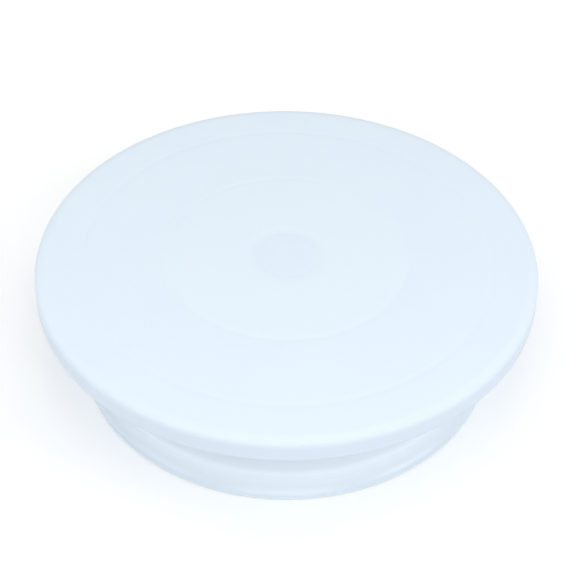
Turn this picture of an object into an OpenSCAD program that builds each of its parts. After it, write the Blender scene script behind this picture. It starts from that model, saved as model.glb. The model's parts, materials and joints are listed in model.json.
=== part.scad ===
// Revolving cake turntable: a round plate that turns on a ring of steel balls over a flared base.
// The plate's spindle runs in the base's hub sleeve, and a screw with two washers holds it down.
// Millimetres, +Z up. The origin is the centre of the circle on which the turntable stands.

/* [Plate] */
// Diameter of the plate
plate_d = 280; // [260:5:300]
// Height of the plate's top face above the table
plate_top_z = 70; // [66:1:80]
// Thickness of the plate's web
web_t = 2.6; // [2.2:0.1:3]
// Depth of the rim, from the top face down to the lip
rim_h = 12.6; // [11:0.1:18]
// Thickness of the rim
rim_t = 2.6; // [2.2:0.1:3]
// Radius of the gentle roll-off round the top face
crown_r = 14; // [8:1:20]
// Radius of the rounded edge between the roll-off and the rim
edge_r = 2.6; // [1.5:0.1:4]
// How far the rim's outer face leans out towards its lip
rim_draft = 0.3; // [0:0.1:1]
// Diameter of the inner guide ring that is pressed into the top face
inner_ring_d = 136.2; // [120:0.2:150]
// Diameter of the outer guide ring that is pressed into the top face
outer_ring_d = 229.4; // [210:0.2:240]
// Width of a guide ring
ring_w = 5; // [3:0.1:6]
// Depth of a guide ring
ring_depth = 0.15; // [0.1:0.05:0.6]
// Diameter of the centre recess, at the middle of its sloping edge
recess_d = 40; // [30:1:50]
// Depth of the centre recess
recess_depth = 0.4; // [0.2:0.1:1]
// Number of radial ribs under the outer part of the plate
plate_rib_count = 12; // [6:1:16]

/* [Base] */
// Diameter of the foot
foot_d = 236.2; // [226:0.2:240]
// Thickness of the base's wall
base_t = 2.4; // [2:0.1:3]
// Diameter of the flat deck that carries the ball track
deck_d = 164; // [158:1:170]
// Height of the rounded shoulder's centre above the table
base_shoulder_z = 12.6; // [11:0.2:16]
// Number of ribs under the base, which is also the number of foot pads
base_rib_count = 6; // [4:1:8]

/* [Ball ring] */
// Number of steel balls
ball_count = 16; // [8:1:18]
// Diameter of a ball
ball_d = 6.35; // [5.6:0.05:6.4]
// Diameter of the circle that the balls run on
track_d = 138.6; // [132:0.2:142]
// Depth of the two ball grooves
race_depth = 0.6; // [0.4:0.05:0.8]

/* [Hub] */
// Diameter of the plate's spindle
spindle_d = 15.9; // [14:0.1:17]
// Radial clearance between the spindle and its sleeve
running_gap = 0.05; // [0.03:0.01:0.1]
// Length of the sleeve below the deck
sleeve_length = 22; // [18:1:26]
// Diameter of the screw's thread
screw_d = 4; // [3.5:0.1:4.5]

/* [Foot pads] */
// Diameter of a rubber pad
pad_d = 13.8; // [12:0.1:14]
// Thickness of a rubber pad
pad_t = 3; // [2.5:0.1:3.5]
// How far a pad stands proud of the foot
pad_proud = 0.5; // [0.4:0.1:1.2]
// Diameter of the circle that the pads lie on
pad_circle_d = 206; // [200:1:208]

/* [Hidden] */
$fn = 128;
// Small overlap that lets two solids merge
merge = 0.5;
// Steps along a rounded corner of an outline
arc_steps = 8;

// Plate, from the top face down
plate_r = plate_d / 2;
lip_z = plate_top_z - rim_h;
lip_round = 0.6;
rim_inner_r = plate_r - rim_t;
// Angle through which the roll-off turns before the edge's radius takes over
crown_angle = 20;
edge_centre = [
    plate_r - rim_draft - edge_r,
    plate_top_z - crown_r * (1 - cos(crown_angle)) - edge_r * cos(crown_angle)
];
crown_start_r = edge_centre[0] - (crown_r - edge_r) * sin(crown_angle);
rim_corner_r = 2;
web_z = plate_top_z - web_t;
recess_blend = 6;
rib_t = 1.6;
plate_rib_h = 4.5;
ring_rib_r = outer_ring_d / 2;

// Ball ring: the upper race hangs under the web, the lower race stands on the deck
track_r = track_d / 2;
ball_r = ball_d / 2;
ball_gap = 0.1;
race_half_w = 4;
race_h = 1;
race_groove_r = ball_r * 1.1;
upper_race_z = web_z - race_h;
ball_z = upper_race_z + race_depth - ball_gap - ball_r;
lower_race_z = ball_z - ball_r - ball_gap + race_depth;
track_h = 1.2;
deck_z = lower_race_z - track_h;
guide_offset = 5.8;
guide_t = 1.8;
guide_h = 5.2;
cage_half_w = 4.9;
cage_t = 2.2;
collar_t = 3.2;
pocket_gap = 0.15;
pocket_r = ball_r + pocket_gap;
collar_wall = 1.3;
collar_r = pocket_r + collar_wall;

// Hub, from the sleeve's lower end down
spindle_r = spindle_d / 2;
bore_r = spindle_r + running_gap;
sleeve_z = deck_z - sleeve_length;
sleeve_wall = 2.4;
hub_well_r = 13;
hub_outer_r = hub_well_r + sleeve_wall;
hub_skirt_h = 8.5;
hub_skirt_z = sleeve_z - hub_skirt_h;
spindle_root_r = 11;
spindle_root_h = 4;
slip_t = 0.8;
slip_gap = 0.1;
washer_r = 12.2;
washer_t = 1;
spindle_end_z = sleeve_z - slip_t - 2 * slip_gap;
washer_z = spindle_end_z - washer_t;
core_inner_r = 4;
core_outer_r = spindle_r - 2;
screw_r = screw_d / 2;
screw_root_r = screw_r - 0.5;
pilot_r = screw_r - 0.3;
screw_length = 14;
thread_pitch = 1.4;
// Plain lengths of the screw under its head and at its tip, and of the pilot hole past the tip
thread_start = 1;
thread_tip = 2;
pilot_spare = 2;
screw_head_r = 4.2;
screw_head_h = 2.4;
screw_head_round = 1.2;
// Cross recess in the screw's head: length and width of an arm, and depth
cross_size = [4.2, 0.9, 1.4];
washer_bore_gap = 0.2;
cap_t = 1.6;
cap_round = 1;
plug_h = 3;
plug_wall = 1.6;
plug_gap = 0.05;
plug_r = hub_well_r - plug_gap;

// Base outline: two outward arcs, one inward arc and the flat foot
foot_r = foot_d / 2;
foot_z = pad_proud;
deck_round = 4;
deck_centre = [deck_d / 2 - deck_round, deck_z - deck_round];
shoulder_round = 5;
shoulder_inset = 10.2;
shoulder_centre = [foot_r - shoulder_inset, base_shoulder_z];
flare_r = 7.5;
flare_inset = 5.6;
flare_drop = 4;
flare_centre = [foot_r - flare_inset + flare_r, base_shoulder_z - flare_drop];
flare_end = 236;
flare_inner_end = 205;
flange_t = 1.6;
flange_edge_r = 0.6;
foot_inner_r = foot_r - 6;
deck_rib_h = 9;
deck_rib_reach = 2;
gusset_t = 1.8;
// Length by which a rib runs into the hub and into a pad's cup
rib_lap = 1;
cup_h = 4;
cup_wall = 1.7;
pad_r = pad_d / 2;
pad_circle_r = pad_circle_d / 2;
pad_fit = 0.1;
pad_chamfer = 0.5;

plate_colour = [0.93, 0.96, 0.985];
base_colour = [0.91, 0.945, 0.975];
nylon_colour = [0.87, 0.86, 0.8];
steel_colour = [0.76, 0.77, 0.79];
rubber_colour = [0.16, 0.17, 0.18];

function two_digits(i) = str(i < 10 ? "0" : "", i);

// Points along an arc from angle a0 to angle a1
function arc(centre, r, a0, a1, steps = arc_steps) =
    [
        for (i = [0:steps])
            let (a = a0 + (a1 - a0) * i / steps)
            centre + r * [cos(a), sin(a)]
    ];

// A shallow round groove in the top face, listed outwards
function ring_groove(r) =
    let (
        groove_r = (ring_w * ring_w / 4 + ring_depth * ring_depth) / (2 * ring_depth),
        half_angle = asin(ring_w / 2 / groove_r)
    )
    arc([r, plate_top_z + groove_r - ring_depth], groove_r, -90 - half_angle, -90 + half_angle);

// The sloping edge of the centre recess, a smooth rise listed outwards
function recess_edge() =
    [for (i = [0:arc_steps])
        let (t = i / arc_steps)
        [recess_d / 2 + recess_blend * (t - 0.5), plate_top_z - recess_depth * (1 + cos(180 * t)) / 2]];

// Outline of the plate's web and rim, from the axis outwards over the top and back underneath
module plate_outline() {
    polygon(concat(
        [[0, plate_top_z - recess_depth]],
        recess_edge(),
        ring_groove(inner_ring_d / 2),
        ring_groove(outer_ring_d / 2),
        arc([crown_start_r, plate_top_z - crown_r], crown_r, 90, 90 - crown_angle, 4),
        arc(edge_centre, edge_r, 90 - crown_angle, 0),
        arc([plate_r - lip_round, lip_z + lip_round], lip_round, 0, -90, 4),
        arc([rim_inner_r + lip_round, lip_z + lip_round], lip_round, -90, -180, 4),
        arc([rim_inner_r - rim_corner_r, web_z - rim_corner_r], rim_corner_r, 0, 90, 6),
        [[0, web_z]]
    ));
}

// A plain ring between two radii and two heights
module ring(r_in, r_out, z_low, z_high) {
    rotate_extrude()
        translate([r_in, z_low])
            square([r_out - r_in, z_high - z_low]);
}

// A ball groove as a torus, with its centre line at height z
module race_torus(z) {
    rotate_extrude()
        translate([track_r, z])
            circle(r = race_groove_r);
}

// Straight ribs spread evenly around the axis, each from r_in to r_out
module radial_ribs(count, r_in, r_out, z_low, z_high, thickness) {
    for (i = [0:count - 1])
        rotate([0, 0, 360 * i / count])
            translate([r_in, -thickness / 2, z_low])
                cube([r_out - r_in, thickness, z_high - z_low]);
}

module turntable_plate() {
    guide_in = track_r - guide_offset;
    guide_out = track_r + guide_offset;
    guide_z = web_z - guide_h;
    rib_z = web_z - plate_rib_h;
    color(plate_colour)
        difference() {
            union() {
                rotate_extrude() plate_outline();
                ring(track_r - race_half_w, track_r + race_half_w, upper_race_z, web_z + merge);
                ring(guide_in - guide_t, guide_in, guide_z, web_z + merge);
                ring(guide_out, guide_out + guide_t, guide_z, web_z + merge);
                ring(ring_rib_r - rib_t / 2, ring_rib_r + rib_t / 2, rib_z, web_z + merge);
                radial_ribs(plate_rib_count, guide_out + guide_t / 2, rim_inner_r + rim_t / 2,
                    rib_z, web_z + merge, rib_t);
                radial_ribs(floor(plate_rib_count / 2), spindle_root_r - rib_lap, guide_in - guide_t / 2,
                    rib_z, web_z + merge, rib_t);
                translate([0, 0, web_z - spindle_root_h])
                    cylinder(r = spindle_root_r, h = spindle_root_h + merge);
                translate([0, 0, spindle_end_z])
                    cylinder(r = spindle_r, h = web_z - spindle_end_z);
            }
            race_torus(upper_race_z + race_depth - race_groove_r);
            ring(core_inner_r, core_outer_r, spindle_end_z - merge, deck_z);
            translate([0, 0, spindle_end_z - merge])
                cylinder(r = pilot_r, h = screw_length + pilot_spare);
        }
}

// Angle of the straight cone that touches both the deck's round edge and the shoulder
function cone_angle() =
    let (across = shoulder_centre - deck_centre)
    acos((deck_round - shoulder_round) / norm(across)) + atan2(across[1], across[0]);

// Wall outline from the deck's edge down to the foot, set in from the outer face by inset
function wall_outline(inset, end_angle) = concat(
    arc(deck_centre, deck_round - inset, 90, cone_angle()),
    arc(shoulder_centre, shoulder_round - inset, cone_angle(), 0),
    arc(flare_centre, flare_r + inset, 180, end_angle)
);

// The base's shell as a closed outline: outer wall, foot flange, then the inner wall in reverse
module base_outline() {
    inner = wall_outline(base_t, flare_inner_end);
    last = len(inner) - 1;
    polygon(concat(
        [[hub_well_r, deck_z]],
        wall_outline(0, flare_end),
        arc([foot_r - flange_edge_r, foot_z + flange_t - flange_edge_r], flange_edge_r, 80, 0, 4),
        [[foot_r, foot_z], [inner[last][0], foot_z]],
        [for (i = [last:-1:0]) inner[i]],
        [[hub_well_r, deck_z - base_t]]
    ));
}

// Everything under the middle of the wall, which trims the ribs
module base_envelope() {
    rotate_extrude()
        polygon(concat(
            [[0, deck_z - base_t / 2]],
            wall_outline(base_t / 2, flare_inner_end),
            [[foot_inner_r, foot_z], [0, foot_z]]
        ));
}

// One upright web under the deck and wall, from the hub out to a foot pad's cup
module base_rib() {
    cup_r = pad_r + pad_fit + cup_wall;
    rib_low = deck_z - base_t - deck_rib_h;
    rotate([90, 0, 0])
        translate([0, 0, -gusset_t / 2])
            linear_extrude(gusset_t)
                polygon([
                    [hub_outer_r - rib_lap, deck_z],
                    [hub_outer_r - rib_lap, rib_low],
                    [deck_d / 2 + deck_rib_reach, rib_low],
                    [pad_circle_r - cup_r + rib_lap, foot_z + cup_h - rib_lap],
                    [foot_r, foot_z + cup_h - rib_lap],
                    [foot_r, deck_z]
                ]);
}

module hub_sleeve() {
    ring(hub_well_r, hub_outer_r, hub_skirt_z, deck_z - base_t / 2);
    ring(bore_r, hub_well_r + merge, sleeve_z, sleeve_z + sleeve_wall);
    ring(bore_r, bore_r + sleeve_wall, sleeve_z, lower_race_z);
}

module base_shell() {
    color(base_colour)
        difference() {
            union() {
                rotate_extrude() base_outline();
                ring(track_r - race_half_w, track_r + race_half_w, deck_z - merge, lower_race_z);
                ring(track_r - rib_t / 2, track_r + rib_t / 2,
                    deck_z - base_t - deck_rib_h / 2, deck_z - merge);
                hub_sleeve();
                intersection() {
                    base_envelope();
                    for (i = [0:base_rib_count - 1])
                        rotate([0, 0, 360 * i / base_rib_count])
                            base_rib();
                }
                for (i = [0:base_rib_count - 1])
                    rotate([0, 0, 360 * i / base_rib_count])
                        translate([pad_circle_r, 0, foot_z])
                            cylinder(r = pad_r + pad_fit + cup_wall, h = cup_h);
            }
            race_torus(lower_race_z - race_depth + race_groove_r);
            for (i = [0:base_rib_count - 1])
                rotate([0, 0, 360 * i / base_rib_count])
                    translate([pad_circle_r, 0, -merge])
                        cylinder(r = pad_r + pad_fit, h = pad_t + merge);
        }
}

// Cage ring with one collared pocket for each ball
module ball_retainer() {
    color(nylon_colour)
        difference() {
            union() {
                ring(track_r - cage_half_w, track_r + cage_half_w,
                    ball_z - cage_t / 2, ball_z + cage_t / 2);
                for (i = [0:ball_count - 1])
                    rotate([0, 0, 360 * i / ball_count])
                        translate([track_r, 0, ball_z - collar_t / 2])
                            cylinder(r = collar_r, h = collar_t);
            }
            for (i = [0:ball_count - 1])
                rotate([0, 0, 360 * i / ball_count])
                    translate([track_r, 0, ball_z - collar_t])
                        cylinder(r = pocket_r, h = 2 * collar_t);
        }
}

module bearing_ball(i) {
    color(steel_colour)
        rotate([0, 0, 360 * (i - 1) / ball_count])
            translate([track_r, 0, ball_z])
                sphere(r = ball_r);
}

// Pan-head screw, driven upwards into the spindle, with a cross recess in its head
module retaining_screw() {
    head_z = washer_z - screw_head_h;
    turns = floor((screw_length - thread_tip) / thread_pitch);
    thread_z = washer_z + thread_start;
    color(steel_colour)
        difference() {
            rotate_extrude()
                polygon(concat(
                    [[0, head_z], [screw_head_r - screw_head_round, head_z]],
                    arc([screw_head_r - screw_head_round, head_z + screw_head_round],
                        screw_head_round, -60, 0, 4),
                    [[screw_head_r, washer_z], [screw_root_r, washer_z]],
                    [for (i = [0:turns - 1], side = [0, 1])
                        [side == 0 ? screw_root_r : screw_r, thread_z + thread_pitch * (i + side / 2)]],
                    [[screw_root_r, thread_z + thread_pitch * turns], [0, washer_z + screw_length]]
                ));
            for (a = [0, 90])
                rotate([0, 0, a])
                    translate([-cross_size[0] / 2, -cross_size[1] / 2, head_z - merge])
                        cube(cross_size + [0, 0, merge]);
        }
}

module steel_washer() {
    color(steel_colour)
        ring(screw_r + washer_bore_gap, washer_r, washer_z, spindle_end_z);
}

module slip_washer() {
    color(nylon_colour)
        ring(spindle_r + washer_bore_gap, washer_r,
            spindle_end_z + slip_gap, spindle_end_z + slip_gap + slip_t);
}

// Snap-in cap that closes the screw's chamber from below
module hub_cap() {
    cap_z = hub_skirt_z - cap_t;
    color(base_colour)
        union() {
            rotate_extrude()
                polygon(concat(
                    [[0, cap_z]],
                    arc([hub_outer_r - cap_round, cap_z + cap_round], cap_round, -90, 0, 4),
                    [[hub_outer_r, hub_skirt_z], [0, hub_skirt_z]]
                ));
            ring(plug_r - plug_wall, plug_r, hub_skirt_z - merge, hub_skirt_z + plug_h);
        }
}

module foot_pad(i) {
    color(rubber_colour)
        rotate([0, 0, 360 * (i - 1) / base_rib_count])
            translate([pad_circle_r, 0, 0])
                rotate_extrude()
                    polygon([
                        [0, 0],
                        [pad_r - pad_chamfer, 0],
                        [pad_r, pad_chamfer],
                        [pad_r, pad_t],
                        [0, pad_t]
                    ]);
}

turntable_plate();
base_shell();
ball_retainer();
retaining_screw();
steel_washer();
slip_washer();
hub_cap();
for (i = [1:ball_count])
    bearing_ball(i);
for (i = [1:base_rib_count])
    foot_pad(i);
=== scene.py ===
"""Looks of the revolving cake turntable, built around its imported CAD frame.

The plate, base, hub cap, pads, balls and screw are remade as fine meshes on the CAD's own
dimensions. The ball cage and the washers stay CAD nodes with better materials.
Outlines are in millimetres, as (radius, height) pairs, and become metres in the mesh. A third
number is the radius that rounds that corner.
"""
import json
import math

import bmesh
import bpy
from mathutils import Matrix, Vector


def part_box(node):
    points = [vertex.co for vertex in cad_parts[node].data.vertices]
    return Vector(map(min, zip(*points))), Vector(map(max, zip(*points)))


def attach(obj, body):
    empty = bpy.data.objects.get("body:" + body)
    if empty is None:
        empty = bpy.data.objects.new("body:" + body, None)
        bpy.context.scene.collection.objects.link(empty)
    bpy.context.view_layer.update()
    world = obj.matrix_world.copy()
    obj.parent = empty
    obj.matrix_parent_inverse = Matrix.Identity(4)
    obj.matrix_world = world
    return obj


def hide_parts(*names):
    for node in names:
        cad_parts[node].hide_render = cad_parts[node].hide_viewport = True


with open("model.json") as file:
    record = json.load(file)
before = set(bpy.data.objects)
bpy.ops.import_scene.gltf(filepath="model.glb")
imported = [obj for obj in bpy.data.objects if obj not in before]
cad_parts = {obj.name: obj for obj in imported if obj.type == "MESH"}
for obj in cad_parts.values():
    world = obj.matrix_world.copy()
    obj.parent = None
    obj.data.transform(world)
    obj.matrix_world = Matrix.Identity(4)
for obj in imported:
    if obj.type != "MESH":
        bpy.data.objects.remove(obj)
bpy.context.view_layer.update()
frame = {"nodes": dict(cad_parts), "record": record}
MM = 0.001

# ---------------------------------------------------------------- dimensions, millimetres
PLATE_LOW, PLATE_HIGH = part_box("turntable_plate")
PLATE_R = round(PLATE_HIGH.x / MM)
PLATE_TOP = PLATE_HIGH.z / MM
SPINDLE_END = PLATE_LOW.z / MM
WEB_T = 2.6
WEB_Z = PLATE_TOP - WEB_T
RIM_HEIGHT = 12.6
LIP_Z = PLATE_TOP - RIM_HEIGHT
LIP_ROUND = 0.6
RIM_T = 2.6
RIM_DRAFT = 0.3
CROWN_R = 14.0
CROWN_ANGLE = 20.0
EDGE_R = 2.6
INNER_RING_R = 68.1
OUTER_RING_R = 114.7
RING_HALF_W = 3.0
RING_DEPTH = 0.18
RECESS_R = 20.0
# Radius and depth of the recess's level floor, and of the deeper moat just inside its edge
RECESS_FLOOR = (15.0, 0.12)
RECESS_MOAT = (18.2, 0.3)
RECESS_END = 25.0
PLATE_RIBS = 12
RIB_T = 1.6
RIB_DEPTH = 4.5
RIB_TAPER = 0.1
RIB_LAP = 1.0  # how far a rib reaches into what it joins
PLATE_RIB_LOW = WEB_Z - RIB_DEPTH

TRACK_R = 69.3
RACE_HALF_W = 4.0
RACE_DEPTH = 0.6
BALL_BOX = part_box("bearing_ball_01")
BALL_R = 3.175
BALL_Z = (BALL_BOX[0].z + BALL_BOX[1].z) / 2 / MM
BALL_CLEARANCE = 0.1
RACE_GROOVE_R = BALL_R * 1.1
RACE_STEP = 1.0
UPPER_RACE_Z = WEB_Z - RACE_STEP
LOWER_RACE_Z = BALL_Z - BALL_R - BALL_CLEARANCE + RACE_DEPTH
GUIDE_OFFSET = 5.8
GUIDE_T = 1.8
GUIDE_LOW = WEB_Z - 5.2

SPINDLE_R = 7.95
SPINDLE_WALL = 2.0
SPINDLE_ROOT_R = 11.0
SPINDLE_ROOT_Z = WEB_Z - 4.0
PILOT_R = 1.7
PILOT_TOP = SPINDLE_END + 15.5
PILOT_BOSS_R = 4.0
BORE_R = 8.0
DECK_Z = LOWER_RACE_Z - 1.2
BASE_T = 2.4
HUB_WELL_R = 13.0
HUB_OUTER_R = 15.4
SLEEVE_Z = DECK_Z - 22.0
HUB_SKIRT_Z = SLEEVE_Z - 8.5

FOOT_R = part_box("base_shell")[1].x / MM
FOOT_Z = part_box("base_shell")[0].z / MM
FOOT_EDGE_TOP = FOOT_Z + 1.0
DECK_CENTRE = Vector((78.0, DECK_Z - 4.0))
DECK_ROUND = 4.0
SHOULDER_CENTRE = Vector((FOOT_R - 12.7, 12.8))
SHOULDER_ROUND = 7.5
WAIST_R = FOOT_R - 5.6
FLARE_R = 7.5
FLARE_CENTRE = Vector((WAIST_R + FLARE_R, 8.6))
# Angles at which the outer and the inner face of the flare end
FLARE_END = 248.0
INNER_FLARE_END = 205.0
BASE_RIBS = 6
BASE_WEB_T = 1.8
BASE_WEB_DEPTH = 9.0
BASE_WEB_DRAFT = 0.1
PAD_CIRCLE_R = 103.0
PAD_R = 6.9
PAD_T = 3.0
GRIP_RINGS = (1.9, 3.5, 5.1)
GRIP_HALF_W = 0.45
GRIP_DEPTH = 0.22
CUP_INNER_R = 7.0
CUP_OUTER_R = 8.7
CUP_TOP = FOOT_Z + 4.0
# Above the rounding of the foot's underside, so that no two faces share a plane in the union
CUP_LOW = FOOT_Z + 0.35
CAP_FACE_T = 1.6
CAP_CLEARANCE = 0.05
CAP_PLUG_HEIGHT = 3

SCREW_HEAD_T = 2.4
SCREW_POINT = 1.6
THREAD_PITCH = 1.4
THREAD_CREST_R = 2.0
THREAD_ROOT_R = 1.5
THREAD_RUN_IN = 0.8
THREAD_FLANK = 0.32  # half the width of a ridge, as a share of the pitch
THREAD_ROWS = 150

ROUND_SEGMENTS = 288
SCREW_SEGMENTS = 48


# ---------------------------------------------------------------- outline tools
def arc(centre, radius, start, end, steps):
    """Points along an arc, with its angles in degrees."""
    angles = [math.radians(start + (end - start) * i / steps) for i in range(steps + 1)]
    return [(centre[0] + radius * math.cos(a), centre[1] + radius * math.sin(a)) for a in angles]


def rounded(corners, step=15.0):
    """A closed outline through (radius, height) points; a third number rounds that corner."""
    points = []
    count = len(corners)
    for i, corner in enumerate(corners):
        here = Vector(corner[:2])
        fillet = corner[2] if len(corner) > 2 else 0.0
        if fillet == 0.0:
            points.append(tuple(here))
            continue
        before = (Vector(corners[i - 1][:2]) - here).normalized()
        after = (Vector(corners[(i + 1) % count][:2]) - here).normalized()
        between = before.angle(after)
        turn = math.pi - between
        centre = here + (before + after).normalized() * (fillet / math.sin(between / 2))
        first = here + before * (fillet / math.tan(between / 2)) - centre
        steps = max(3, math.ceil(math.degrees(turn) / step))
        side = 1.0 if before.x * after.y - before.y * after.x < 0.0 else -1.0
        for k in range(steps + 1):
            c, v = math.cos(side * turn * k / steps), math.sin(side * turn * k / steps)
            points.append((centre.x + first.x * c - first.y * v, centre.y + first.x * v + first.y * c))
    return points


def dip(centre_r, half_w, depth, surface_z, steps=16):
    """A smooth shallow groove in a level surface, listed outwards."""
    return [(centre_r + half_w * (2 * i / steps - 1),
             surface_z - depth * (1 + math.cos(math.pi * (2 * i / steps - 1))) / 2)
            for i in range(steps + 1)]


def ease(r_from, r_to, z_from, z_to, steps=14):
    """A smooth rise between two heights."""
    return [(r_from + (r_to - r_from) * i / steps,
             z_from + (z_to - z_from) * (1 - math.cos(math.pi * i / steps)) / 2)
            for i in range(steps + 1)]


def race(surface_z, upward):
    """The round ball groove in a race, listed outwards.

    upward is 1 for a groove that cuts up into the plate, and -1 for one that cuts down."""
    centre_z = surface_z + upward * (RACE_DEPTH - RACE_GROOVE_R)
    half = math.degrees(math.acos((RACE_GROOVE_R - RACE_DEPTH) / RACE_GROOVE_R))
    middle = 90.0 * upward
    return arc((TRACK_R, centre_z), RACE_GROOVE_R, middle + upward * half, middle - upward * half, 12)


# ---------------------------------------------------------------- mesh tools
def new_object(name, bm):
    """Makes an object of bm, with its faces turned outwards."""
    mesh = bpy.data.meshes.new(name)
    bmesh.ops.recalc_face_normals(bm, faces=bm.faces)
    bm.to_mesh(mesh)
    bm.free()
    made = bpy.data.objects.new(name, mesh)
    bpy.context.scene.collection.objects.link(made)
    return made


def revolve(name, outline, segments=ROUND_SEGMENTS, centre=(0.0, 0.0), closed=True):
    """A body of revolution about an upright axis.

    A closed outline keeps off the axis; an open one starts and ends on it."""
    bm = bmesh.new()
    rings = []
    for r, z in outline:
        if r < 1e-6:
            rings.append([bm.verts.new((centre[0] * MM, centre[1] * MM, z * MM))])
            continue
        rings.append([bm.verts.new(((centre[0] + r * math.cos(a)) * MM,
                                    (centre[1] + r * math.sin(a)) * MM, z * MM))
                      for a in (2 * math.pi * i / segments for i in range(segments))])
    spans = len(rings) if closed else len(rings) - 1
    for i in range(spans):
        lower, upper = rings[i], rings[(i + 1) % len(rings)]
        for k in range(segments):
            n = (k + 1) % segments
            if len(lower) == 1 and len(upper) == 1:
                continue
            if len(lower) == 1:
                bm.faces.new((lower[0], upper[n], upper[k]))
            elif len(upper) == 1:
                bm.faces.new((lower[k], lower[n], upper[0]))
            else:
                bm.faces.new((lower[k], lower[n], upper[n], upper[k]))
    return new_object(name, bm)


def web_plate(bm, side_outline, thickness, angle, draft=0.12):
    """Adds an upright web to bm; side_outline is its (radius, height) outline.

    Each of its two faces leans in by draft towards its lowest edge."""
    heights = [z for _, z in side_outline]
    low, high = min(heights), max(heights)
    turn = Matrix.Rotation(angle, 3, "Z")
    faces = []
    for side in (-1, 1):
        ring = []
        for r, z in side_outline:
            half = thickness / 2 - draft * (high - z) / (high - low)
            ring.append(bm.verts.new(turn @ Vector((r * MM, side * half * MM, z * MM))))
        faces.append(ring)
        bm.faces.new(ring if side < 0 else list(reversed(ring)))
    count = len(side_outline)
    for i in range(count):
        n = (i + 1) % count
        bm.faces.new((faces[0][n], faces[0][i], faces[1][i], faces[1][n]))


def combine(body, tool, operation):
    """Applies an exact boolean of body and tool, and removes tool."""
    modifier = body.modifiers.new("combine", "BOOLEAN")
    modifier.operation = operation
    modifier.solver = "EXACT"
    modifier.object = tool
    apply_modifiers(body)
    bpy.data.objects.remove(tool)


def apply_modifiers(made):
    """Turns what the modifiers make into the object's own mesh."""
    evaluated = made.evaluated_get(bpy.context.evaluated_depsgraph_get())
    mesh = bpy.data.meshes.new_from_object(evaluated)
    old = made.data
    made.modifiers.clear()
    made.data = mesh
    bpy.data.meshes.remove(old)


def soften(made, angle=32.0):
    """Smooth shading, split where two faces meet at more than angle.

    The normals are weighted towards the large faces."""
    made.data.shade_smooth()
    made.data.set_sharp_from_angle(angle=math.radians(angle))
    weighted = made.modifiers.new("weighted_normals", "WEIGHTED_NORMAL")
    weighted.keep_sharp = True
    weighted.weight = 60


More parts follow.
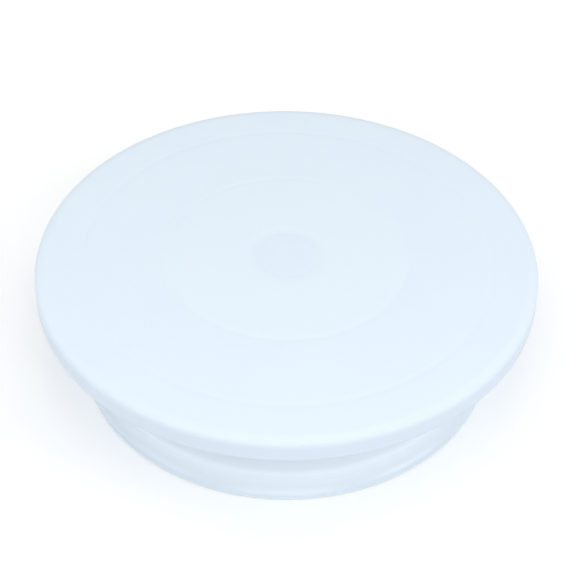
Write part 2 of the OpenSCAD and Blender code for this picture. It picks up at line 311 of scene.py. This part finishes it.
# ---------------------------------------------------------------- material tools
class Nodes:
    """A short way to write a procedural material."""

    def __init__(self, name):
        self.material = bpy.data.materials.new(name)
        self.material.use_nodes = True
        self.tree = self.material.node_tree
        self.shader = self.tree.nodes["Principled BSDF"]
        self.place = self.tree.nodes.new("ShaderNodeTexCoord").outputs["Object"]

    def noise(self, scale, detail=3.0, roughness=0.5, place=None):
        node = self.tree.nodes.new("ShaderNodeTexNoise")
        node.inputs["Scale"].default_value = scale
        node.inputs["Detail"].default_value = detail
        node.inputs["Roughness"].default_value = roughness
        self.tree.links.new(place or self.place, node.inputs["Vector"])
        return node.outputs["Fac"]

    def spread(self, value, low, high, out_low, out_high):
        """Maps low to high onto out_low to out_high, and stops there."""
        node = self.tree.nodes.new("ShaderNodeMapRange")
        ends = zip(("From Min", "From Max", "To Min", "To Max"), (low, high, out_low, out_high))
        for socket, number in ends:
            node.inputs[socket].default_value = number
        self.tree.links.new(value, node.inputs["Value"])
        return node.outputs["Result"]

    def blend(self, factor, first, second):
        node = self.tree.nodes.new("ShaderNodeMix")
        node.data_type = "RGBA"
        node.inputs["A"].default_value = (*first, 1.0)
        node.inputs["B"].default_value = (*second, 1.0)
        self.tree.links.new(factor, node.inputs["Factor"])
        return node.outputs["Result"]

    def shade(self, factor, colour, by):
        """Multiplies a colour by another, as far as factor says."""
        node = self.tree.nodes.new("ShaderNodeMix")
        node.data_type = "RGBA"
        node.blend_type = "MULTIPLY"
        self.tree.links.new(factor, node.inputs["Factor"])
        self.tree.links.new(colour, node.inputs["A"])
        node.inputs["B"].default_value = (*by, 1.0)
        return node.outputs["Result"]

    def maths(self, operation, first, second=None):
        node = self.tree.nodes.new("ShaderNodeMath")
        node.operation = operation
        for socket, value in zip(node.inputs, (first, second)):
            if value is None:
                continue
            if isinstance(value, (int, float)):
                socket.default_value = value
            else:
                self.tree.links.new(value, socket)
        return node.outputs[0]

    def radius(self):
        """Distance from the turning axis, after the three object coordinates themselves."""
        split = self.tree.nodes.new("ShaderNodeSeparateXYZ")
        self.tree.links.new(self.place, split.inputs[0])
        x, y, z = split.outputs
        return x, y, z, self.maths("SQRT", self.maths("ADD", self.maths("MULTIPLY", x, x),
                                                      self.maths("MULTIPLY", y, y)))

    def polar(self, along, across):
        """Object coordinates unrolled round the turning axis.

        One scale is for the way along a circle, and the other for the way across it."""
        x, y, z, radius = self.radius()
        unit_x = self.maths("DIVIDE", x, self.maths("MAXIMUM", radius, 1e-4))
        unit_y = self.maths("DIVIDE", y, self.maths("MAXIMUM", radius, 1e-4))
        join = self.tree.nodes.new("ShaderNodeCombineXYZ")
        self.tree.links.new(self.maths("MULTIPLY", unit_x, along), join.inputs["X"])
        self.tree.links.new(self.maths("MULTIPLY", unit_y, along), join.inputs["Y"])
        self.tree.links.new(self.maths("MULTIPLY", self.maths("ADD", radius, z), across), join.inputs["Z"])
        return join.outputs[0]

    def bump(self, height, distance, strength=1.0, below=None):
        node = self.tree.nodes.new("ShaderNodeBump")
        node.inputs["Strength"].default_value = strength
        node.inputs["Distance"].default_value = distance
        self.tree.links.new(height, node.inputs["Height"])
        if below is not None:
            self.tree.links.new(below, node.inputs["Normal"])
        return node.outputs[0]

    def show_from_above_only(self):
        """Makes the back of a face clear, so a floor doesn't hide what stands on it from below."""
        facing = self.tree.nodes.new("ShaderNodeNewGeometry").outputs["Backfacing"]
        clear = self.tree.nodes.new("ShaderNodeBsdfTransparent").outputs[0]
        mix = self.tree.nodes.new("ShaderNodeMixShader")
        self.tree.links.new(facing, mix.inputs[0])
        self.tree.links.new(self.shader.outputs[0], mix.inputs[1])
        self.tree.links.new(clear, mix.inputs[2])
        self.tree.links.new(mix.outputs[0], self.tree.nodes["Material Output"].inputs["Surface"])

    def set(self, **sockets):
        for name, value in sockets.items():
            socket = self.shader.inputs[name.replace("_", " ")]
            if isinstance(value, bpy.types.NodeSocket):
                self.tree.links.new(value, socket)
            else:
                socket.default_value = value


def moulded_plastic(name, light, dark, roughness, painted_shade_zones=(), painted_shade_levels=()):
    """Cool white polypropylene: faint clouding, a fine moulded grain and light circular wipe marks.

    Each zone is (radius where its shade is full, radius where it has faded, shade): painted shade that
    darkens the colour by distance from the axis. Height bands give the same painted shade by height."""
    n = Nodes(name)
    clouds = n.noise(18.0, 4.0)
    tint = n.blend(n.spread(clouds, 0.35, 0.65, 0.0, 1.0), dark, light)
    # Painted shade: each zone, then each height band, darkens the colour
    for r_full, r_faded, by in painted_shade_zones:
        tint = n.shade(n.spread(n.radius()[3], r_full * MM, r_faded * MM, 1.0, 0.0), tint, by)
    for z_full, z_faded, by in painted_shade_levels:
        tint = n.shade(n.spread(n.radius()[2], z_full * MM, z_faded * MM, 1.0, 0.0), tint, by)
    wipes = n.noise(1.0, 5.0, 0.6, n.polar(2.0, 300.0))
    gloss = n.maths("ADD", n.spread(n.noise(60.0, 3.0), 0.3, 0.7, roughness - 0.025, roughness + 0.025),
                    n.spread(wipes, 0.3, 0.7, -0.008, 0.008))
    grain = n.bump(n.noise(2600.0, 2.0), 0.00002, 0.5)
    waves = n.bump(n.noise(9.0, 2.0), 0.0004, 0.25, grain)
    n.set(Base_Color=tint, Roughness=gloss, Normal=waves, IOR=1.49,
          Subsurface_Weight=0.12, Subsurface_Radius=(0.9, 1.0, 1.1), Subsurface_Scale=0.003)
    return n.material


def nylon(name):
    """Natural nylon, a little yellow, with a dull moulded skin."""
    n = Nodes(name)
    tint = n.blend(n.noise(120.0, 4.0), (0.60, 0.58, 0.50), (0.68, 0.66, 0.58))
    n.set(Base_Color=tint, Roughness=n.spread(n.noise(300.0, 3.0), 0.3, 0.7, 0.42, 0.55),
          Normal=n.bump(n.noise(2500.0, 2.0), 0.00003, 0.5), Subsurface_Weight=0.2,
          Subsurface_Radius=(1.0, 0.9, 0.7), Subsurface_Scale=0.002)
    return n.material


def polished_steel(name):
    """Ground and polished ball steel with faint lapping marks."""
    n = Nodes(name)
    tint = n.blend(n.noise(400.0, 3.0), (0.56, 0.57, 0.59), (0.64, 0.65, 0.67))
    n.set(Base_Color=tint, Metallic=1.0, Roughness=n.spread(n.noise(900.0, 4.0), 0.3, 0.7, 0.08, 0.16),
          Normal=n.bump(n.noise(3000.0, 2.0), 0.000004, 0.3))
    return n.material


def plated_steel(name):
    """Zinc-plated steel: soft crystalline blotches and turning marks."""
    n = Nodes(name)
    tint = n.blend(n.noise(500.0, 5.0), (0.46, 0.47, 0.50), (0.60, 0.61, 0.63))
    turned = n.noise(1.0, 4.0, 0.6, n.polar(2.0, 4000.0))
    n.set(Base_Color=tint, Metallic=1.0, Roughness=n.spread(turned, 0.3, 0.7, 0.25, 0.42),
          Normal=n.bump(turned, 0.00001, 0.4))
    return n.material


def rubber(name):
    """Dark grey rubber with a dusty, fine-grained face."""
    n = Nodes(name)
    tint = n.blend(n.noise(300.0, 5.0), (0.018, 0.019, 0.021), (0.040, 0.041, 0.043))
    n.set(Base_Color=tint, Roughness=n.spread(n.noise(700.0, 4.0), 0.3, 0.7, 0.62, 0.85),
          Normal=n.bump(n.noise(2200.0, 3.0), 0.00006, 0.7), Sheen_Weight=0.1, Sheen_Roughness=0.5)
    return n.material


# ---------------------------------------------------------------- the plate
def plate_outline():
    """From the axis outwards over the top, then back underneath and round the spindle."""
    rim_inner = PLATE_R - RIM_T
    tilt = math.radians(CROWN_ANGLE)
    edge_r = PLATE_R - RIM_DRAFT - EDGE_R
    edge_z = PLATE_TOP - CROWN_R * (1 - math.cos(tilt)) - EDGE_R * math.cos(tilt)
    crown_r = edge_r - (CROWN_R - EDGE_R) * math.sin(tilt)
    guide_in = TRACK_R - GUIDE_OFFSET
    guide_out = TRACK_R + GUIDE_OFFSET
    race_in = TRACK_R - RACE_HALF_W
    race_out = TRACK_R + RACE_HALF_W
    half_rib = RIB_T / 2
    floor_r, floor_z = RECESS_FLOOR[0], PLATE_TOP - RECESS_FLOOR[1]
    moat_r, moat_z = RECESS_MOAT[0], PLATE_TOP - RECESS_MOAT[1]
    return rounded([
        (0.0, floor_z),
        *ease(floor_r, moat_r, floor_z, moat_z),
        *ease(moat_r, RECESS_END, moat_z, PLATE_TOP)[1:],
        *dip(INNER_RING_R, RING_HALF_W, RING_DEPTH, PLATE_TOP),
        *dip(OUTER_RING_R, RING_HALF_W, RING_DEPTH, PLATE_TOP),
        *arc((crown_r, PLATE_TOP - CROWN_R), CROWN_R, 90, 90 - CROWN_ANGLE, 8)[:-1],
        *arc((edge_r, edge_z), EDGE_R, 90 - CROWN_ANGLE, 0, 12),
        (PLATE_R, LIP_Z, LIP_ROUND),
        (rim_inner, LIP_Z, LIP_ROUND),
        (rim_inner, WEB_Z, 2.0),
        (OUTER_RING_R + half_rib, WEB_Z, 0.7),
        (OUTER_RING_R + half_rib - RIB_TAPER, PLATE_RIB_LOW, 0.35),
        (OUTER_RING_R - half_rib + RIB_TAPER, PLATE_RIB_LOW, 0.35),
        (OUTER_RING_R - half_rib, WEB_Z, 0.7),
        (guide_out + GUIDE_T, WEB_Z, 0.7),
        (guide_out + GUIDE_T - RIB_TAPER, GUIDE_LOW, 0.4),
        (guide_out, GUIDE_LOW, 0.4),
        (guide_out, WEB_Z, 0.4),
        (race_out, WEB_Z, 0.3),
        (race_out, UPPER_RACE_Z, 0.3),
        *reversed(race(UPPER_RACE_Z, 1)),
        (race_in, UPPER_RACE_Z, 0.3),
        (race_in, WEB_Z, 0.3),
        (guide_in, WEB_Z, 0.4),
        (guide_in, GUIDE_LOW, 0.4),
        (guide_in - GUIDE_T + RIB_TAPER, GUIDE_LOW, 0.4),
        (guide_in - GUIDE_T, WEB_Z, 0.7),
        (SPINDLE_ROOT_R, WEB_Z, 0.7),
        (SPINDLE_ROOT_R, SPINDLE_ROOT_Z, 0.5),
        (SPINDLE_R, SPINDLE_ROOT_Z, 0.3),
        (SPINDLE_R, SPINDLE_END, 0.4),
        (SPINDLE_R - SPINDLE_WALL, SPINDLE_END, 0.2),
        (SPINDLE_R - SPINDLE_WALL, DECK_Z, 0.3),
        (PILOT_BOSS_R, DECK_Z, 0.3),
        (PILOT_BOSS_R, SPINDLE_END, 0.2),
        (PILOT_R, SPINDLE_END, 0.1),
        (PILOT_R, PILOT_TOP),
        (0.0, PILOT_TOP),
    ])


def make_plate(material):
    plate = revolve("plate_body", plate_outline(), closed=False)
    guide_edge = TRACK_R + GUIDE_OFFSET + GUIDE_T / 2
    webs = bmesh.new()
    for i in range(PLATE_RIBS):
        web_plate(webs, rib_side(guide_edge, PLATE_R - RIM_T / 2), RIB_T, 2 * math.pi * i / PLATE_RIBS)
    inner_side = rib_side(SPINDLE_ROOT_R - RIB_LAP, TRACK_R - GUIDE_OFFSET - GUIDE_T / 2)
    for i in range(PLATE_RIBS // 2):
        web_plate(webs, inner_side, RIB_T, 4 * math.pi * i / PLATE_RIBS)
    combine(plate, new_object("plate_ribs", webs), "UNION")
    finish_piece(plate, material, "plate", "plate_plastic", "turntable_plate")


def rib_side(r_in, r_out):
    """Side outline of a rib under the plate, which reaches half a millimetre into the web."""
    return [(r_in, PLATE_RIB_LOW), (r_out, PLATE_RIB_LOW), (r_out, WEB_Z + 0.5), (r_in, WEB_Z + 0.5)]


def finish_piece(made, material, body, slot, *replaced):
    """Shades a piece, gives it its material and body, and hides the CAD nodes it stands for; slot is not
    used.
    """
    soften(made)
    made.data.materials.clear()
    made.data.materials.append(material)
    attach(made, body)
    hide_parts(*replaced)


# ---------------------------------------------------------------- the base
def cone_angle():
    """Angle of the straight cone that touches the deck's round edge and the shoulder."""
    across = SHOULDER_CENTRE - DECK_CENTRE
    lean = math.acos((DECK_ROUND - SHOULDER_ROUND) / across.length)
    return math.degrees(lean + math.atan2(across.y, across.x))


def wall(inset, end_angle):
    """The base's wall from the deck's edge down to the foot, set in from the outer face by inset."""
    cone = cone_angle()
    return (arc(DECK_CENTRE, DECK_ROUND - inset, 90, cone, 8)
            + arc(SHOULDER_CENTRE, SHOULDER_ROUND - inset, cone, 0, 8)
            + arc(FLARE_CENTRE, FLARE_R + inset, 180, end_angle, 12))


def base_outline():
    """From the sleeve's bore outwards over the deck, down the wall, and back underneath to the hub."""
    inner = list(reversed(wall(BASE_T, INNER_FLARE_END)))
    foot_inner_r = inner[0][0]
    race_in = TRACK_R - RACE_HALF_W
    race_out = TRACK_R + RACE_HALF_W
    half_rib = RIB_T / 2
    rib_low = DECK_Z - BASE_T - RIB_DEPTH
    return rounded([
        (BORE_R, LOWER_RACE_Z, 0.3),
        (BORE_R + BASE_T, LOWER_RACE_Z, 0.4),
        (BORE_R + BASE_T, SLEEVE_Z + BASE_T, 0.5),
        (HUB_WELL_R, SLEEVE_Z + BASE_T, 0.5),
        (HUB_WELL_R, DECK_Z, 0.4),
        (race_in, DECK_Z, 0.4),
        (race_in, LOWER_RACE_Z, 0.3),
        *race(LOWER_RACE_Z, -1),
        (race_out, LOWER_RACE_Z, 0.3),
        (race_out, DECK_Z, 0.4),
        *wall(0.0, FLARE_END),
        (FOOT_R, FOOT_EDGE_TOP, 0.4),
        (FOOT_R, FOOT_Z, 0.2),
        (foot_inner_r, FOOT_Z, 0.3),
        *inner,
        (TRACK_R + half_rib, DECK_Z - BASE_T, 0.5),
        (TRACK_R + half_rib - RIB_TAPER, rib_low, 0.35),
        (TRACK_R - half_rib + RIB_TAPER, rib_low, 0.35),
        (TRACK_R - half_rib, DECK_Z - BASE_T, 0.5),
        (HUB_OUTER_R, DECK_Z - BASE_T, 0.8),
        (HUB_OUTER_R, HUB_SKIRT_Z, 0.3),
        (HUB_WELL_R, HUB_SKIRT_Z, 0.2),
        (HUB_WELL_R, SLEEVE_Z, 0.4),
        (BORE_R, SLEEVE_Z, 0.3),
    ])


def pad_centres():
    """Places of the foot pads, with the first one on +X."""
    turns = [2 * math.pi * i / BASE_RIBS for i in range(BASE_RIBS)]
    return [(PAD_CIRCLE_R * math.cos(turn), PAD_CIRCLE_R * math.sin(turn)) for turn in turns]


def make_base(material):
    base = revolve("base_body", base_outline())
    mid = wall(BASE_T / 2, INNER_FLARE_END)
    web_low = DECK_Z - BASE_T - BASE_WEB_DEPTH
    side = [(HUB_OUTER_R - RIB_LAP, web_low), (DECK_CENTRE.x + 6, web_low),
            (PAD_CIRCLE_R - CUP_OUTER_R + RIB_LAP, CUP_TOP - RIB_LAP), (mid[-1][0], CUP_TOP - RIB_LAP)]
    side += [p for p in reversed(mid) if p[1] > CUP_TOP]
    side += [(HUB_OUTER_R - RIB_LAP, DECK_Z - BASE_T / 2)]
    webs = bmesh.new()
    for i in range(BASE_RIBS):
        web_plate(webs, side, BASE_WEB_T, 2 * math.pi * i / BASE_RIBS, BASE_WEB_DRAFT)
    combine(base, new_object("base_webs", webs), "UNION")
    outline = rounded([
        (0.0, PAD_T),
        (CUP_INNER_R, PAD_T, 0.2),
        (CUP_INNER_R, CUP_LOW, 0.25),
        (CUP_OUTER_R, CUP_LOW, 0.25),
        (CUP_OUTER_R, CUP_TOP, 0.4),
        (0.0, CUP_TOP),
    ])
    for i, centre in enumerate(pad_centres()):
        combine(base, revolve(f"cup_{i}", outline, 64, centre, closed=False), "UNION")
    finish_piece(base, material, "base", "base_plastic", "base_shell")


# ---------------------------------------------------------------- small parts
def make_hub_cap(material):
    """Press-in cap with a shallow finger mark in the middle of its face."""
    low = HUB_SKIRT_Z - CAP_FACE_T
    plug_r = HUB_WELL_R - CAP_CLEARANCE
    plug_inner_r = plug_r - CAP_FACE_T
    plug_top = HUB_SKIRT_Z + CAP_PLUG_HEIGHT
    outline = rounded([
        (0.0, low + 0.5), (5.0, low + 0.5, 0.4), (5.6, low, 0.3), (HUB_OUTER_R, low, 0.9),
        (HUB_OUTER_R, HUB_SKIRT_Z, 0.2), (plug_r, HUB_SKIRT_Z, 0.1), (plug_r, plug_top, 0.4),
        (plug_inner_r, plug_top, 0.4), (plug_inner_r, HUB_SKIRT_Z, 0.3), (0.0, HUB_SKIRT_Z),
    ])
    cap = revolve("hub_cap_disc", outline, 96, closed=False)
    finish_piece(cap, material, "base", "base_plastic", "hub_cap")


def make_pads(material):
    """Rubber discs with a rounded edge and three shallow grip rings on the face that meets the table."""
    face = [(0.0, 0.0)]
    for r in GRIP_RINGS:
        face += dip(r, GRIP_HALF_W, -GRIP_DEPTH, 0.0, 8)
    outline = face + rounded([
        (6.0, 0.0), (PAD_R, 0.0, 0.5), (PAD_R, PAD_T, 0.2), (0.0, PAD_T),
    ])
    for i, centre in enumerate(pad_centres(), 1):
        pad = revolve(f"rubber_pad_{i}", outline, 72, centre, closed=False)
        finish_piece(pad, material, "base", "pad_rubber", f"foot_pad_{i}")


def make_balls(material):
    """Steel balls, each with its own node's centre and its own body."""
    for body, members in frame["record"]["behaviour"]["bodies"].items():
        if not body.startswith("ball_"):
            continue
        low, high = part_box(members[0])
        bm = bmesh.new()
        bmesh.ops.create_icosphere(bm, subdivisions=4, radius=BALL_R * MM,
                                   matrix=Matrix.Translation((low + high) / 2))
        ball = new_object(members[0].replace("bearing_ball", "steel_ball"), bm)
        finish_piece(ball, material, body, "ball_steel", members[0])


def screw_ring(bm, radius_at, z):
    """One ring of the screw's points; radius_at gives the radius at a share of the way round."""
    ring = []
    for k in range(SCREW_SEGMENTS):
        angle = 2 * math.pi * k / SCREW_SEGMENTS
        radius = radius_at(k / SCREW_SEGMENTS)
        ring.append(bm.verts.new((radius * math.cos(angle) * MM, radius * math.sin(angle) * MM, z * MM)))
    return ring


def join_rings(bm, rings):
    """Quads between each ring and the one above it."""
    for lower, upper in zip(rings, rings[1:]):
        for k in range(SCREW_SEGMENTS):
            n = (k + 1) % SCREW_SEGMENTS
            bm.faces.new((lower[k], lower[n], upper[n], upper[k]))


def make_screw(material):
    """Pan-head screw with a true helical thread, driven up into the spindle."""
    low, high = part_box("retaining_screw")
    head_low, tip = low.z / MM, high.z / MM
    seat = head_low + SCREW_HEAD_T
    thread_top = tip - SCREW_POINT

    def thread_radius(share, z):
        phase = ((z - seat) / THREAD_PITCH - share) % 1.0
        fade = min(1.0, max(0.0, (z - seat - THREAD_RUN_IN) / THREAD_RUN_IN))
        ridge = max(0.0, 1 - abs(phase - 0.5) / THREAD_FLANK)
        return THREAD_ROOT_R + (THREAD_CREST_R - THREAD_ROOT_R) * fade * ridge

    bm = bmesh.new()
    shank = []
    for i in range(THREAD_ROWS + 1):
        z = seat + (thread_top - seat) * i / THREAD_ROWS
        shank.append(screw_ring(bm, lambda share: thread_radius(share, z), z))
    join_rings(bm, shank)
    point = bm.verts.new((0, 0, tip * MM))
    for k in range(SCREW_SEGMENTS):
        bm.faces.new((shank[-1][k], shank[-1][(k + 1) % SCREW_SEGMENTS], point))
    profile = rounded([(4.2, seat, 0.1), (4.2, head_low + 0.9, 0.9), (3.2, head_low, 1.2)])
    head = [screw_ring(bm, lambda share: r, z) for r, z in profile]
    join_rings(bm, list(reversed(head)) + shank[:1])
    bm.faces.new(list(reversed(head[-1])))
    screw = new_object("pan_head_screw", bm)
    for turn in (0.0, math.pi / 2):
        cutter = bmesh.new()
        place = Matrix.Translation((0, 0, (head_low + 0.4) * MM)) @ Matrix.Rotation(turn, 4, "Z")
        bmesh.ops.create_cube(cutter, size=1.0,
                              matrix=place @ Matrix.Diagonal((4.2 * MM, 0.9 * MM, 2.0 * MM, 1)))
        combine(screw, new_object("cross_cutter", cutter), "DIFFERENCE")
    finish_piece(screw, material, "plate", "screw_steel", "retaining_screw")


def dress_cad_node(name, material):
    """A CAD node that stays as it is, with its own finish."""
    node = frame["nodes"][name]
    node.data.materials.clear()
    node.data.materials.append(material)


# ---------------------------------------------------------------- build
white = moulded_plastic(
    "plate_polypropylene", light=(0.783, 0.878, 0.972), dark=(0.775, 0.872, 0.968), roughness=0.45,
    # Painted shade: the recess is darkened, and the top outside the inner ring a little
    painted_shade_zones=((RECESS_R - 2.0, RECESS_R + 2.0, (0.97, 0.975, 0.98)),
           (INNER_RING_R + 1.5, INNER_RING_R - 1.5, (0.985, 0.988, 0.99))),
    # Painted shade: darker from below the crown down over the rim and underside, and darker again from the
    # lip down, a painted shade line along the lip
    painted_shade_levels=((PLATE_TOP - 4.5, PLATE_TOP - 0.3, (0.86, 0.865, 0.885)),
            (LIP_Z + 0.2, LIP_Z + 1.6, (0.90, 0.91, 0.93))))
white_base = moulded_plastic(
    "base_polypropylene", light=(0.826, 0.915, 0.998), dark=(0.819, 0.910, 0.995), roughness=0.22,
    # Painted shade: the base is darker towards the bottom, and a painted contact shadow darkens the lowest
    # edge of the foot
    painted_shade_levels=((6.0, 10.0, (0.975, 0.975, 0.98)),
            (FOOT_Z + 0.5, FOOT_Z + 1.0, (0.91, 0.91, 0.84))))
natural_nylon = nylon("natural_nylon")
zinc = plated_steel("zinc_plate")

make_plate(white)
make_base(white_base)
make_hub_cap(white_base)
make_pads(rubber("pad_rubber_compound"))
make_balls(polished_steel("ball_steel_polished"))
make_screw(zinc)
dress_cad_node("ball_retainer", natural_nylon)
dress_cad_node("slip_washer", natural_nylon)
dress_cad_node("steel_washer", zinc)


# ---------------------------------------------------------------- stage, light and camera
LIGHT_TARGET = (0.0, 0.0, 0.05)


def make_floor():
    """A wide pale floor that glows a little, so that it stays pale under the soft lights."""
    bm = bmesh.new()
    bmesh.ops.create_circle(bm, cap_ends=True, segments=96, radius=4.0)
    floor = new_object("studio_floor", bm)
    n = Nodes("studio_paper")
    paper = n.blend(n.noise(6.0, 3.0), (0.94, 0.94, 0.94), (0.95, 0.95, 0.95))
    n.set(Base_Color=paper, Roughness=0.9, Emission_Color=paper, Emission_Strength=0.16)
    n.show_from_above_only()
    floor.data.materials.append(n.material)


def make_light(name, place, size, power):
    """A round soft light at place, turned to the middle of the turntable."""
    lamp = bpy.data.lights.new(name, "AREA")
    lamp.shape = "DISK"
    lamp.size = size
    lamp.energy = power
    made = bpy.data.objects.new(name, lamp)
    made.location = place
    made.rotation_euler = (Vector(LIGHT_TARGET) - Vector(place)).to_track_quat("-Z", "Y").to_euler()
    bpy.context.scene.collection.objects.link(made)


def around(azimuth, elevation, distance):
    """A place round the turntable; azimuth 0 is in front of it."""
    turn, lift = math.radians(azimuth), math.radians(elevation)
    level = distance * math.cos(lift)
    return (level * math.sin(turn), -level * math.cos(turn), LIGHT_TARGET[2] + distance * math.sin(lift))


def make_world(strength):
    world = bpy.data.worlds.new("studio")
    world.use_nodes = True
    sky = world.node_tree.nodes["Background"]
    sky.inputs["Color"].default_value = (1.0, 1.0, 1.0, 1.0)
    sky.inputs["Strength"].default_value = strength
    bpy.context.scene.world = world


def make_camera(elevation, distance, lens, aim, roll):
    """The camera stands in front of the turntable and looks at aim from above.

    Angles are in degrees; roll turns the camera about its line of sight."""
    tilt = math.radians(elevation)
    forward = Vector((0.0, math.cos(tilt), -math.sin(tilt)))
    level = Vector((1.0, 0.0, 0.0))
    up = level.cross(forward)
    turn = math.radians(roll)
    right = level * math.cos(turn) + up * math.sin(turn)
    top = up * math.cos(turn) - level * math.sin(turn)
    data = bpy.data.cameras.new("camera")
    data.lens = lens
    camera = bpy.data.objects.new("camera", data)
    axes = Matrix((right, top, -forward)).transposed().to_4x4()
    camera.matrix_world = Matrix.Translation(Vector(aim) - forward * distance) @ axes
    bpy.context.scene.collection.objects.link(camera)
    bpy.context.scene.camera = camera


make_floor()
make_world(strength=0.5)
for name, azimuth, power in (("left_softbox", -65, 2.8), ("right_softbox", 65, 4.2)):
    make_light(name, around(azimuth, elevation=32, distance=1.5), size=0.8, power=power)
for name, azimuth, power in (("left_back_fill", -120, 1.7), ("right_back_fill", 120, 1.9)):
    make_light(name, around(azimuth, elevation=35, distance=1.3), size=0.7, power=power)
make_light("overhead_softbox", (0.0, 0.0, 1.3), size=1.2, power=2.4)
make_light("front_softbox", (0.0, -0.55, 0.55), size=0.5, power=1.15)
make_camera(elevation=42.455, distance=0.79342, lens=87.47,
            aim=(0.00007, 0.0, (PLATE_TOP - 24.616) * MM), roll=0.661)
bpy.context.scene.view_settings.view_transform = "Standard"
